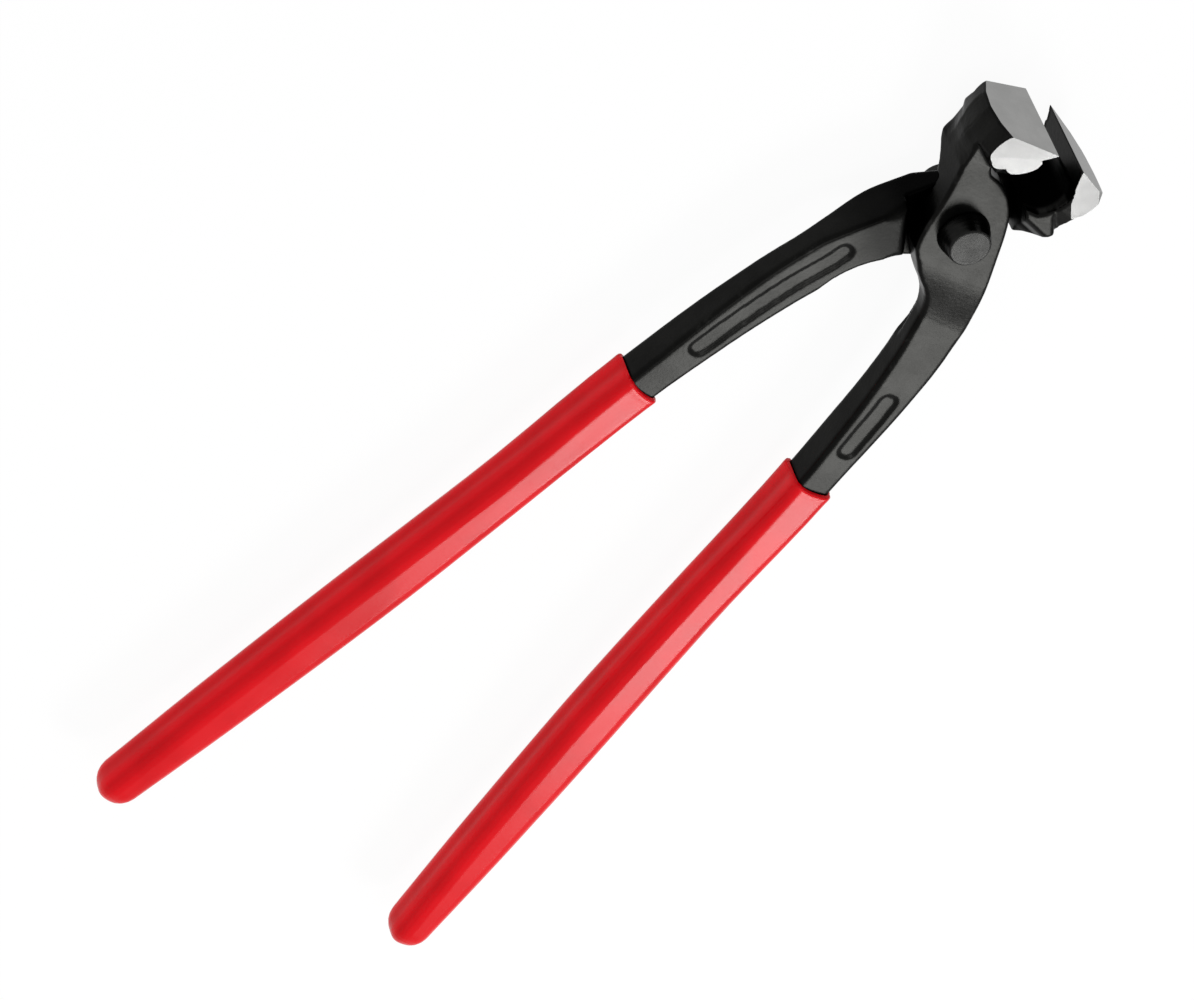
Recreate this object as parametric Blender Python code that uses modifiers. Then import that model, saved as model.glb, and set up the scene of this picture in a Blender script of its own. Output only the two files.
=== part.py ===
"""Rebar tying pliers: end-cutting nippers that a steel fixer twists and cuts tie wire with.

Two forged levers cross in a lap joint and swing on one turned rivet. Each lever is a single forging:
a wide hooked jaw ground to a cutting edge, a half-thickness plate round the rivet, a bowed arm, and
a handle tang inside a soft dipped grip. Both levers are the same forging, one turned over.

Metres. The rivet axis is the Z axis, the jaws point along +Y, and the rear end of the rivet lies on
z = 0. The jaws stand open by REST_OPENING and sit JAW_SHIFT to the front of the joint.
"""
import math

import bmesh
import bpy
import numpy as np
from mathutils import Matrix, Vector

# Reaches from the rivet axis, with the jaws closed
JAW_REACH = 0.0325
COLLAR_REACH = 0.0815
HANDLE_REACH = 0.2530

# Head, measured from the plane that the cutting edges meet in
EDGE_WIDTH = 0.0256
JAW_SHIFT = 0.0024
HEAD_HALF = 0.0155
MOUTH_HALF = 0.0074
FLANK_HEIGHT = 0.0092
BACK_CROWN = 0.0032
GRINDING_STOCK = 0.0020
JAW_CORNER = 0.0012

# Ground faces of the jaw
TOP_FALL = math.radians(7)
BEVEL_LEAN = math.radians(40)
BEVEL_LENGTH = 0.0052
FLANK_FALL = math.radians(9)
FLANK_LEAN = math.radians(4)
LIP_TILT = math.radians(12)
LIP_HEIGHT = 0.0062

# Lap joint
BOSS_RADIUS = 0.0104
PLATE_THICKNESS = 0.0072
JOINT_GAP = 0.0003
LAP_ANGLE = math.radians(49.6)
PLATE_CORNER = 0.0008

# Rivet
RIVET_LENGTH = 0.0256
SHANK_RADIUS = 0.0042
BUTTON_FOOT_RADIUS = 0.0065
BUTTON_TOP_RADIUS = 0.0053
BUTTON_CHAMFER = 0.0004
RUNNING_GAP = 0.0003

# Arms, from the joint to the collar of the grip
ROOT_SPREAD = 0.0157
BOW_SPREAD = 0.0199
ROOT_WIDTH = 0.0142
COLLAR_WIDTH = 0.0094
WAIST_THICKNESS = 0.0070
COLLAR_THICKNESS = 0.0092
ARM_SHIFT = 0.0012
ARM_CORNER = 0.0012

# Handle tangs
HANDLE_SPREAD = 0.0176
BELLY_WIDTH = 0.0115
TIP_WIDTH = 0.0074
TANG_THICKNESS = 0.0088
TANG_CORNER = 0.0026
TIP_ROUND = 0.0060

# Dipped grips
GRIP_WALL = 0.0009
GRIP_FIT = 0.0003

# Shallow panels in the faces of the arms
PANEL_WIDTH = 0.0048
PANEL_DEPTH = 0.0005

# The pose that is modelled, and the length by which every cutter runs past what it cuts
REST_OPENING = math.radians(15.2)
OVERRUN = 0.0010
WELD_DISTANCE = 0.00001

# Jaw: height above the plate as a share of the jaw's rise, then depth as a share of HEAD_HALF
JAW_BACK_SHARES = ((1.0, -0.87), (0.86, -0.96), (0.66, -1.0), (0.40, -0.98), (0.10, -0.89))
# The same heights against MOUTH_HALF, for the hollow that faces the other jaw
JAW_MOUTH_SHARES = ((1.0, 0.05), (0.83, -0.19), (0.69, -0.66), (0.48, -0.96), (0.33, -1.0), (0.16, -0.84),
                    (0.06, -0.60))
# Round the rivet: station and offset, both as shares of BOSS_RADIUS
BOSS_LEFT_SHARES = ((1.05, -1.16), (0.40, -1.02), (-0.20, -0.94), (-0.83, -0.76), (-1.18, -0.42),
                    (-1.44, -0.16), (-1.94, 0.50))
BOSS_RIGHT_SHARES = ((1.47, 0.0), (1.05, 0.58), (0.62, 0.87), (-0.35, 1.32), (-1.23, 1.70), (-1.85, 1.96))
PLATE_TOP_SHARE = 1.47
ROOT_SHARE = 2.50
LAP_REACH_SHARES = (1.25, 1.22)
# The arch that clears the other lever's plate at the fork of the arms: centre and radius in BOSS_RADIUS
ARCH_SHARES = (-1.24, -3.19)
ARCH_REACH_SHARE = 2.31
PLATE_FOOT_SHARE = 0.90
# Neck on the open side of the joint: station in BOSS_RADIUS, way from the arm's thickness to the full width
NECK_SHARES = ((0.70, 0.0), (1.02, 0.26), (1.22, 0.56), (1.42, 0.77), (2.17, 0.80), (2.30, 1.0))
# The same on the side of the plate, from the plate's thickness
LEAF_SHARES = ((1.47, 0.0), (1.73, 0.29), (2.02, 0.54), (2.17, 0.62), (2.30, 1.0))
# Where the flat leaf of the plate runs out under the neck: near the back, and at the mouth
LEAF_TIP_SHARES = (-0.90, -1.03)
LEAF_FOOT_SHARES = (-0.52, 1.67)
# Arm: distance from root to collar, way from ROOT_SPREAD to BOW_SPREAD and from ROOT_WIDTH to COLLAR_WIDTH
ARM_SHARES = ((0.0, 0.0, 0.0), (0.25, 0.58, 0.27), (0.60, 0.88, 0.66))
# Handle: distance from collar to tip, way from BOW_SPREAD to HANDLE_SPREAD
HANDLE_SWEEP_SHARES = ((0.0, 0.10), (0.28, 0.80), (0.50, 1.0), (1.0, 1.0))
# Where the tang is part way to its belly, as distance from collar to tip and way to BELLY_WIDTH
SWELL_SHARES = (0.28, 0.65)
BELLY_SHARE = 0.50
DRAW_IN_SHARES = (0.76, 0.70)
WAIST_SHARE = 0.05
# The crease across each front flank, from the back to the mouth, under which the flank leans in to the lip
CREASE_BACK_SHARES = (-0.83, -0.97)
CREASE_MOUTH_SHARES = (-0.35, -0.28)
# The same points on the rear flanks, which are shorter and end there
REAR_BACK_SHARES = (-0.83, -0.62)
REAR_MOUTH_SHARES = (-0.35, -0.28)
# Panels: first and last station as shares of COLLAR_REACH, short one at +Z and long one at -Z
SHORT_PANEL_SHARES = (0.60, 0.86)
LONG_PANEL_SHARES = (0.26, 0.82)

# How finely the rings and the lengths between them are divided
CORNER_LIMIT_SHARE = 0.45
CORNER_STEPS = 3
SIDE_STEPS = 3
GRIP_CORNER_STEPS = 4
TIP_STEPS = 5
TANG_STEPS = 12
ARM_STEPS = 12
JOINT_STEPS = 22
JAW_STEPS = 14
GRIP_STEPS = 18
PANEL_STEPS = 12
TURNED_STEPS = 48
SMOOTH_ANGLE = math.radians(35)

EDGE_HALF = EDGE_WIDTH / 2
JOINT_LEVEL = RIVET_LENGTH / 2
PLATE_TOP = PLATE_TOP_SHARE * BOSS_RADIUS
ARM_ROOT = -ROOT_SHARE * BOSS_RADIUS
COLLAR = -COLLAR_REACH
GRIP_END = -HANDLE_REACH
TANG_END = GRIP_END + GRIP_WALL + GRIP_FIT
FLARE_TOP = JAW_REACH - FLANK_HEIGHT
BORE_RADIUS = SHANK_RADIUS + RUNNING_GAP


def mix(start, end, share):
    return start + share * (end - start)


def smooth_curve(table):
    """A curve through (station, value) pairs that keeps their rises and falls and adds none."""
    stations, values = (np.array(column) for column in zip(*sorted(table)))
    steps = np.diff(stations)
    slopes = np.diff(values) / steps
    tangents = np.concatenate(([slopes[0]], np.zeros(len(slopes) - 1), [slopes[-1]]))
    for k in range(1, len(slopes)):
        if slopes[k - 1] * slopes[k] > 0:
            near, far = 2 * steps[k] + steps[k - 1], steps[k] + 2 * steps[k - 1]
            tangents[k] = (near + far) / (near / slopes[k - 1] + far / slopes[k])

    def value_at(station):
        station = min(max(station, stations[0]), stations[-1])
        k = min(int(np.searchsorted(stations, station, side="right")) - 1, len(steps) - 1)
        t = (station - stations[k]) / steps[k]
        start = (1 + 2 * t) * (1 - t) ** 2 * values[k] + t * (1 - t) ** 2 * steps[k] * tangents[k]
        end = t * t * (3 - 2 * t) * values[k + 1] - t * t * (1 - t) * steps[k] * tangents[k + 1]
        return float(start + end)

    return value_at


def jaw_height(share):
    return mix(PLATE_TOP, JAW_REACH, share)


def arm_station(share):
    return mix(ARM_ROOT, COLLAR, share)


def handle_station(share):
    return mix(COLLAR, TANG_END, share)


# Centre line and width of the arm and the tang, which the outline of the lever and the grip share
centre_line = smooth_curve(
    [(arm_station(s), mix(ROOT_SPREAD, BOW_SPREAD, way)) for s, way, _ in ARM_SHARES]
    + [(handle_station(s), mix(BOW_SPREAD, HANDLE_SPREAD, way)) for s, way in HANDLE_SWEEP_SHARES])
bar_width = smooth_curve(
    [(arm_station(s), mix(ROOT_WIDTH, COLLAR_WIDTH, way)) for s, _, way in ARM_SHARES]
    + [(COLLAR, COLLAR_WIDTH),
       (handle_station(SWELL_SHARES[0]), mix(COLLAR_WIDTH, BELLY_WIDTH, SWELL_SHARES[1])),
       (handle_station(BELLY_SHARE), BELLY_WIDTH),
       (handle_station(DRAW_IN_SHARES[0]), mix(TIP_WIDTH, BELLY_WIDTH, DRAW_IN_SHARES[1])),
       (TANG_END, TIP_WIDTH)])

ARM_STATIONS = [arm_station(s) for s, _, _ in ARM_SHARES]
left_side = smooth_curve(
    [(JAW_REACH + GRINDING_STOCK, JAW_BACK_SHARES[0][1] * HEAD_HALF)]
    + [(jaw_height(h), depth * HEAD_HALF) for h, depth in JAW_BACK_SHARES]
    + [(y * BOSS_RADIUS, x * BOSS_RADIUS) for y, x in BOSS_LEFT_SHARES]
    + [(y, centre_line(y) - bar_width(y) / 2) for y in ARM_STATIONS])
right_side = smooth_curve(
    [(JAW_REACH + GRINDING_STOCK, GRINDING_STOCK)]
    + [(jaw_height(h), depth * MOUTH_HALF) for h, depth in JAW_MOUTH_SHARES]
    + [(y * BOSS_RADIUS, x * BOSS_RADIUS) for y, x in BOSS_RIGHT_SHARES]
    + [(y, centre_line(y) + bar_width(y) / 2) for y in ARM_STATIONS])
# Half the thickness of the arm and the tang
BAR_HALF_TABLE = [
    (arm_station(WAIST_SHARE), WAIST_THICKNESS / 2),
    (COLLAR, COLLAR_THICKNESS / 2),
    (handle_station(SWELL_SHARES[0]), TANG_THICKNESS / 2),
    (TANG_END, TANG_THICKNESS / 2)]
bar_half = smooth_curve(BAR_HALF_TABLE)
arm_shift = smooth_curve([(-PLATE_FOOT_SHARE * BOSS_RADIUS, ARM_SHIFT), (ARM_ROOT, ARM_SHIFT), (COLLAR, 0.0)])
corner_radius = smooth_curve([
    (FLARE_TOP, JAW_CORNER), (PLATE_TOP, PLATE_CORNER), (-BOSS_RADIUS, PLATE_CORNER),
    (ARM_ROOT, ARM_CORNER), (COLLAR, ARM_CORNER),
    (handle_station(SWELL_SHARES[0]), TANG_CORNER), (TANG_END, TANG_CORNER)])
crown_depth = smooth_curve([(PLATE_TOP, 0.0), (FLARE_TOP, BACK_CROWN), (JAW_REACH, BACK_CROWN)])


def section(y, sides, faces, corner, crown=0.0, corner_steps=CORNER_STEPS, side_steps=SIDE_STEPS):
    """One ring across a bar at station y: a rectangle with round corners and a crowned left side."""
    middle, reach = (sides[0] + sides[1]) / 2, (sides[1] - sides[0]) / 2
    level, half = (faces[0] + faces[1]) / 2, (faces[1] - faces[0]) / 2
    radius = min(corner, CORNER_LIMIT_SHARE * 2 * min(reach, half))
    ring = []
    for quarter, (side, face) in enumerate(((1, 1), (-1, 1), (-1, -1), (1, -1))):
        for step in range(corner_steps + 1):
            angle = (quarter + step / corner_steps) * math.pi / 2
            ring.append((side * (reach - radius) + radius * math.cos(angle),
                         face * (half - radius) + radius * math.sin(angle)))
        if side * face < 0:
            for step in range(1, side_steps + 1):
                ring.append((side * reach, face * (half - radius) * (1 - 2 * step / (side_steps + 1))))
    return [Vector((middle + x + crown * (z / half) ** 2 * (1 - x / reach) / 2, y, level + z))
            for x, z in ring]


def lever_faces(jaw_shift):
    """Distance of both faces from the plane of the joint: on the open side and on that of the plate."""
    open_jaw, plate_jaw = EDGE_HALF - jaw_shift, EDGE_HALF + jaw_shift
    open_bar, plate_bar = ([(y, half + math.copysign(arm_shift(y), way)) for y, half in BAR_HALF_TABLE]
                           for way in (-jaw_shift, jaw_shift))
    waist = open_bar[0][1]
    open_face = smooth_curve(
        [(JAW_REACH + GRINDING_STOCK, open_jaw)]
        + [(y * BOSS_RADIUS, mix(waist, open_jaw, way)) for y, way in NECK_SHARES]
        + open_bar)
    plate_face = smooth_curve(
        [(JAW_REACH + GRINDING_STOCK, plate_jaw)]
        + [(y * BOSS_RADIUS, mix(PLATE_THICKNESS, plate_jaw, way)) for y, way in LEAF_SHARES]
        + [(-PLATE_FOOT_SHARE * BOSS_RADIUS, PLATE_THICKNESS)] + plate_bar)
    return open_face, plate_face


def lever_section(y, open_face, plate_face):
    if y > ARM_ROOT:
        sides = left_side(y), right_side(y)
    else:
        sides = centre_line(y) - bar_width(y) / 2, centre_line(y) + bar_width(y) / 2
    return section(y, sides, (-open_face(y), plate_face(y)), corner_radius(y), crown_depth(y))


def tip_sections(end, grow, corner_steps, side_steps):
    """Rings that close the tip of the tang, or of the grip grown from it, in an elliptic dome."""
    rings = []
    for step in range(TIP_STEPS):
        angle = math.pi / 2 * (step + 1) / (TIP_STEPS + 1)
        y = end + TIP_ROUND * (1 - math.sin(angle))
        swell = math.cos(angle)
        rings.append(handle_section(y, grow, swell, corner_steps, side_steps))
    return rings[::-1]


def handle_section(y, grow, swell=1.0, corner_steps=GRIP_CORNER_STEPS, side_steps=0):
    reach = swell * (bar_width(y) / 2 + grow)
    half = swell * (bar_half(y) + grow)
    corner = swell * (corner_radius(y) + grow)
    return section(y, (centre_line(y) - reach, centre_line(y) + reach), (-half, half), corner,
                   corner_steps=corner_steps, side_steps=side_steps)


def loft(name, rings):
    """Skin a closed solid over rings of equal counts, first ring to last."""
    shape = bmesh.new()
    loops = [[shape.verts.new(point) for point in ring] for ring in rings]
    for near, far in zip(loops, loops[1:]):
        for k in range(len(near)):
            after = (k + 1) % len(near)
            shape.faces.new((near[k], near[after], far[after], far[k]))
    shape.faces.new(loops[0])
    shape.faces.new(loops[-1])
    return finish_mesh(name, shape)


def finish_mesh(name, shape):
    bmesh.ops.recalc_face_normals(shape, faces=shape.faces)
    mesh = bpy.data.meshes.new(name)
    shape.to_mesh(mesh)
    shape.free()
    mesh.shade_smooth()
    mesh.set_sharp_from_angle(angle=SMOOTH_ANGLE)
    return mesh


def new_collection(name):
    collection = bpy.data.collections.new(name)
    bpy.context.scene.collection.children.link(collection)
    return collection


def new_object(name, mesh, collection, parent=None, frame=None):
    piece = bpy.data.objects.new(name, mesh)
    collection.objects.link(piece)
    piece.parent = parent
    if frame is not None:
        piece.matrix_local = frame
    return piece


def steel_or_plastic(name, colour, roughness, metallic):
    material = bpy.data.materials.new(name)
    material.use_nodes = True
    shader = material.node_tree.nodes["Principled BSDF"]
    shader.inputs["Base Color"].default_value = (*colour, 1.0)
    shader.inputs["Roughness"].default_value = roughness
    shader.inputs["Metallic"].default_value = metallic
    return material


def cut(piece, cutter):
    cutter.hide_render = True
    cutter.display_type = "WIRE"
    modifier = piece.modifiers.new(cutter.name, "BOOLEAN")
    modifier.operation = "DIFFERENCE"
    modifier.solver = "EXACT"
    modifier.object = cutter


def frame_at(origin, along, normal):
    """A frame with X along one direction and Z along the normal of a ground face."""
    x_axis, z_axis = Vector(along).normalized(), Vector(normal).normalized()
    turn = Matrix((x_axis, z_axis.cross(x_axis), z_axis)).transposed()
    return Matrix.Translation(origin) @ turn.to_4x4()


def box_mesh(name, low, high):
    shape = bmesh.new()
    bmesh.ops.create_cube(shape, size=1.0)
    low, high = Vector(low), Vector(high)
    bmesh.ops.scale(shape, vec=high - low, verts=shape.verts)
    bmesh.ops.translate(shape, vec=(high + low) / 2, verts=shape.verts)
    return finish_mesh(name, shape)


def panel_mesh(name, first, last, face, face_height):
    """A strip with round ends that follows the arm, from PANEL_DEPTH under one face to well above it."""
    radius = PANEL_WIDTH / 2
    way = math.copysign(radius, last - first)
    turns = [math.pi / 2 * (step + 1) / (CORNER_STEPS + 1) for step in range(CORNER_STEPS)]
    stations = [(first + way * (1 - math.cos(turn)), math.sin(turn)) for turn in turns]
    stations += [(float(y), 1.0) for y in np.linspace(first + way, last - way, PANEL_STEPS)]
    stations += [(last - way * (1 - math.cos(turn)), math.sin(turn)) for turn in reversed(turns)]
    rings = []
    for y, share in stations:
        low, high = face * (face_height(y) - PANEL_DEPTH), face * (face_height(y) + PANEL_WIDTH)
        left, right = centre_line(y) - share * radius, centre_line(y) + share * radius
        rings.append([Vector((left, y, low)), Vector((right, y, low)),
                      Vector((right, y, high)), Vector((left, y, high))])
    return loft(name, rings)


def grind_jaw(lever, cutters, pivot, jaw_shift):
    """Cut the top, the inner bevel, and both flanks with their lips, which make the jaw a chisel edge."""
    edge = Vector((0, JAW_REACH, jaw_shift))
    room = HEAD_HALF + EDGE_WIDTH
    sideways = EDGE_HALF + OVERRUN

    down_back = Vector((-math.cos(TOP_FALL), -math.sin(TOP_FALL), 0))
    top_normal = Vector((-math.sin(TOP_FALL), math.cos(TOP_FALL), 0))
    block = box_mesh("top_grind", (-room, -sideways, 0), (room, sideways, room))
    cut(lever, new_object("top_grind", block, cutters, pivot, frame_at(edge, down_back, top_normal)))

    down_mouth = Vector((-math.sin(BEVEL_LEAN), -math.cos(BEVEL_LEAN), 0))
    bevel_normal = Vector((math.cos(BEVEL_LEAN), -math.sin(BEVEL_LEAN), 0))
    block = box_mesh("bevel_grind", (-BEVEL_LENGTH, -sideways, 0),
                     (BEVEL_LENGTH + OVERRUN, sideways, MOUTH_HALF))
    cut(lever, new_object("bevel_grind", block, cutters, pivot, frame_at(edge, down_mouth, bevel_normal)))

    for face in (1, -1):
        at_front = face * jaw_shift > 0
        crease_shares = ((CREASE_BACK_SHARES, CREASE_MOUTH_SHARES) if at_front
                         else (REAR_BACK_SHARES, REAR_MOUTH_SHARES))
        corner = edge + Vector((0, 0, face * EDGE_HALF))
        falls = math.tan(FLANK_FALL), math.tan(FLANK_LEAN)
        normal = Vector((-falls[0], -falls[1], face)).normalized()
        ends = []
        for (x_share, y_share), depth in zip(crease_shares, (HEAD_HALF, MOUTH_HALF)):
            x, y = x_share * depth, y_share * FLANK_HEIGHT
            ends.append(corner + Vector((x, y, face * (falls[0] * x + falls[1] * y))))
        crease = (ends[1] - ends[0]).normalized()
        downhill = crease.cross(normal) * face
        lip_normal = normal * math.cos(LIP_TILT) + downhill * math.sin(LIP_TILT)
        lip_downhill = downhill * math.cos(LIP_TILT) - normal * math.sin(LIP_TILT)
        if at_front:
            grinds = (("front_flank_grind", normal, downhill, room, LIP_HEIGHT),
                      ("front_lip_grind", lip_normal, lip_downhill, OVERRUN, LIP_HEIGHT))
        else:
            grinds = (("rear_flank_grind", normal, downhill, room, 0),)
        for name, outward, downward, up, down in grinds:
            block = box_mesh(name, (-room, -up, 0), (room, down, room))
            frame = frame_at(ends[1], downward.cross(outward), outward)
            cut(lever, new_object(name, block, cutters, pivot, frame))


def cut_lap(lever, cutters, pivot):
    """Halve the plate: everything behind it goes, as far as the shoulders on either side."""
    jaw_reach, arm_reach = (share * BOSS_RADIUS for share in LAP_REACH_SHARES)
    along = Vector((math.cos(LAP_ANGLE), -math.sin(LAP_ANGLE), 0))
    block = box_mesh("lap_cut", (-jaw_reach, -HEAD_HALF - EDGE_WIDTH, -EDGE_WIDTH),
                     (arm_reach, HEAD_HALF + EDGE_WIDTH, JOINT_GAP / 2))
    cut(lever, new_object("lap_cut", block, cutters, pivot, frame_at((0, 0, 0), along, (0, 0, 1))))

    centre_x, centre_y = (share * BOSS_RADIUS for share in ARCH_SHARES)
    shape = bmesh.new()
    bmesh.ops.create_cone(shape, cap_ends=True, segments=TURNED_STEPS, radius1=ARCH_REACH_SHARE * BOSS_RADIUS,
                          radius2=ARCH_REACH_SHARE * BOSS_RADIUS, depth=EDGE_WIDTH)
    bmesh.ops.translate(shape, vec=(centre_x, centre_y, (JOINT_GAP - EDGE_WIDTH) / 2), verts=shape.verts)
    cut(lever, new_object("arch_cut", finish_mesh("arch_cut", shape), cutters, pivot))

    tip_x, tip_y = LEAF_TIP_SHARES
    foot_x, foot_y = LEAF_FOOT_SHARES
    tip = Vector((tip_x * HEAD_HALF, JAW_REACH + tip_y * FLANK_HEIGHT, PLATE_THICKNESS))
    foot = Vector((foot_x * MOUTH_HALF, foot_y * BOSS_RADIUS, PLATE_THICKNESS))
    block = box_mesh("leaf_cut", (-HEAD_HALF, -HEAD_HALF - EDGE_WIDTH, 0),
                     (HEAD_HALF + EDGE_WIDTH, 0, EDGE_WIDTH))
    cut(lever, new_object("leaf_cut", block, cutters, pivot, frame_at(tip, foot - tip, (0, 0, 1))))

    shape = bmesh.new()
    bmesh.ops.create_cone(shape, cap_ends=True, segments=TURNED_STEPS, radius1=BORE_RADIUS,
                          radius2=BORE_RADIUS, depth=2 * EDGE_WIDTH)
    cut(lever, new_object("rivet_bore", finish_mesh("rivet_bore", shape), cutters, pivot))


def press_panels(lever, cutters, pivot, open_face, plate_face):
    """Sink a shallow panel with round ends into each face of the arm, along its centre line."""
    for name, shares, face, face_height in (("short_panel", SHORT_PANEL_SHARES, 1, plate_face),
                                            ("long_panel", LONG_PANEL_SHARES, -1, open_face)):
        first, last = (-share * COLLAR_REACH for share in shares)
        cut(lever, new_object(name, panel_mesh(name, first, last, face, face_height), cutters, pivot))


def make_lever(name, pieces, cutters, pivot, material, jaw_shift):
    """Forge the lever as a loft through stations along it, then cut, bore and grind it."""
    stations = np.concatenate((
        np.linspace(TANG_END + TIP_ROUND, COLLAR, TANG_STEPS, endpoint=False),
        np.linspace(COLLAR, ARM_ROOT, ARM_STEPS, endpoint=False),
        np.linspace(ARM_ROOT, PLATE_TOP, JOINT_STEPS, endpoint=False),
        np.linspace(PLATE_TOP, JAW_REACH + GRINDING_STOCK, JAW_STEPS)))
    open_face, plate_face = lever_faces(jaw_shift)
    rings = tip_sections(TANG_END, 0.0, CORNER_STEPS, SIDE_STEPS)
    rings += [lever_section(float(y), open_face, plate_face) for y in stations]
    lever = new_object(name, loft(name, rings), pieces, pivot)
    lever.data.materials.append(material)
    cut_lap(lever, cutters, pivot)
    grind_jaw(lever, cutters, pivot, jaw_shift)
    press_panels(lever, cutters, pivot, open_face, plate_face)
    return lever


def make_grip(name, pieces, cutters, pivot, material):
    """Dip the handle: the tang's own form grown by the wall, bored to the tang with a fitting gap."""
    wall = GRIP_FIT + GRIP_WALL
    outer = tip_sections(GRIP_END, wall, GRIP_CORNER_STEPS, 0)
    outer += [handle_section(float(y), wall) for y in np.linspace(GRIP_END + TIP_ROUND, COLLAR, GRIP_STEPS)]
    grip = new_object(name, loft(name, outer), pieces, pivot)
    grip.data.materials.append(material)

    bore = tip_sections(TANG_END - GRIP_FIT, GRIP_FIT, GRIP_CORNER_STEPS, 0)
    bore += [handle_section(float(y), GRIP_FIT)
             for y in np.linspace(TANG_END + TIP_ROUND, COLLAR + OVERRUN, GRIP_STEPS)]
    cut(grip, new_object("grip_bore", loft("grip_bore", bore), cutters, pivot))
    return grip


def make_rivet(name, pieces, material):
    """Turn the rivet: a shank through both plates with a coned button at each end."""
    seat = PLATE_THICKNESS + RUNNING_GAP
    half = [(0, JOINT_LEVEL), (BUTTON_TOP_RADIUS - BUTTON_CHAMFER, JOINT_LEVEL),
            (BUTTON_TOP_RADIUS, JOINT_LEVEL - BUTTON_CHAMFER), (BUTTON_FOOT_RADIUS, seat),
            (SHANK_RADIUS, seat)]
    profile = half + [(radius, -height) for radius, height in reversed(half)]
    shape = bmesh.new()
    points = [shape.verts.new((radius, 0, height)) for radius, height in profile]
    for near, far in zip(points, points[1:]):
        shape.edges.new((near, far))
    mesh = bpy.data.meshes.new(name)
    shape.to_mesh(mesh)
    shape.free()
    rivet = new_object(name, mesh, pieces)
    rivet.location.z = JOINT_LEVEL
    turn = rivet.modifiers.new("turned", "SCREW")
    turn.axis = "Z"
    turn.steps = TURNED_STEPS
    turn.render_steps = TURNED_STEPS
    turn.use_merge_vertices = True
    turn.merge_threshold = WELD_DISTANCE
    rivet.data.materials.append(material)
    return rivet


def new_pivot(name, pieces, turn):
    """An empty on the rivet axis, half way through the joint, that carries one lever and its grip."""
    pivot = bpy.data.objects.new(name, None)
    pieces.objects.link(pivot)
    pivot.matrix_world = Matrix.Translation((0, 0, JOINT_LEVEL)) @ turn
    return pivot


def build():
    for old in list(bpy.data.objects):
        bpy.data.objects.remove(old)
    pieces = new_collection("rebar_tying_pliers")
    cutters = new_collection("cutters")
    half_opening = REST_OPENING / 2
    front_pivot = new_pivot("front_pivot", pieces, Matrix.Rotation(half_opening, 4, "Z"))
    rear_pivot = new_pivot("rear_pivot", pieces,
                           Matrix.Rotation(-half_opening, 4, "Z") @ Matrix.Rotation(math.pi, 4, "Y"))

    front_steel = steel_or_plastic("front_lever_steel", (0.045, 0.046, 0.045), 0.45, 0.85)
    rear_steel = steel_or_plastic("rear_lever_steel", (0.040, 0.041, 0.040), 0.45, 0.85)
    rivet_steel = steel_or_plastic("rivet_steel", (0.075, 0.076, 0.075), 0.40, 0.90)
    front_plastic = steel_or_plastic("front_grip_plastic", (0.55, 0.010, 0.015), 0.22, 0.0)
    rear_plastic = steel_or_plastic("rear_grip_plastic", (0.52, 0.009, 0.014), 0.22, 0.0)

    make_lever("front_lever", pieces, cutters, front_pivot, front_steel, JAW_SHIFT)
    make_grip("front_grip", pieces, cutters, front_pivot, front_plastic)
    make_rivet("joint_rivet", pieces, rivet_steel)
    make_lever("rear_lever", pieces, cutters, rear_pivot, rear_steel, -JAW_SHIFT)
    make_grip("rear_grip", pieces, cutters, rear_pivot, rear_plastic)


build()
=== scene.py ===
# %% [markdown]
# # Rebar tying pliers for a studio picture
#
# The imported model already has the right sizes: two crossed levers, a rivet, and a grip on each handle.
# This lesson dresses it. Each forging gets the soft edges that a drop hammer leaves, the jaws are ground
# again so that their faces meet in crisp lines, the rivet is turned, and the grips get the rolled rim of
# a plastic dip. Then every surface gets a finish made of nodes, and a small studio lights it.

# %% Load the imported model
import math

import bmesh
import bpy
import numpy as np
from mathutils import Matrix, Vector


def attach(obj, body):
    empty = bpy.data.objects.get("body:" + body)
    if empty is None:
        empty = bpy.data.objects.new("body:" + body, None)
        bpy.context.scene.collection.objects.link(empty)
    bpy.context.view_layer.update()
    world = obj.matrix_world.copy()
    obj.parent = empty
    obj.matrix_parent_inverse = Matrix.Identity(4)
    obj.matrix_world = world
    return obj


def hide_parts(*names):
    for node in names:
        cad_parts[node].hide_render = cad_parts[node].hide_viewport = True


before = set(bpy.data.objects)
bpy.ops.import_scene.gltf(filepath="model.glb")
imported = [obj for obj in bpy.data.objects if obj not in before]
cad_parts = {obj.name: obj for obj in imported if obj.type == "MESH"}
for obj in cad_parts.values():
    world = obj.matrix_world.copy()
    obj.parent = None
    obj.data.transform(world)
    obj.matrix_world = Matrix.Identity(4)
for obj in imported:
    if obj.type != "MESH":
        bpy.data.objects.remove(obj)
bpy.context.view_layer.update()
print("nodes:", sorted(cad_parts))

# %% [markdown]
# ## Where each lever lies
#
# The rear lever is the front one turned over, but for its jaw: both jaws sit a little to the front of the
# joint. It is easiest to work on a lever when its own jaws are shut, because its
# cutting edge then lies straight above the rivet. So each lever has a frame: the place of the joint, the
# turn that opens it, and for the rear lever half a turn about the long axis, because it lies on its face.

# %% Frames of the two levers
MM = 0.001
JOINT_LEVEL = 12.8 * MM
HALF_OPENING = math.radians(7.6)


def lever_frame(opening, turned_over):
    turn = Matrix.Rotation(opening, 4, "Z")
    if turned_over:
        turn = turn @ Matrix.Rotation(math.pi, 4, "Y")
    return Matrix.Translation((0, 0, JOINT_LEVEL)) @ turn


FRAMES = {"front": lever_frame(HALF_OPENING, False), "rear": lever_frame(-HALF_OPENING, True)}
print("frames:", {side: tuple(round(a, 4) for a in f.to_euler()) for side, f in FRAMES.items()})

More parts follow.
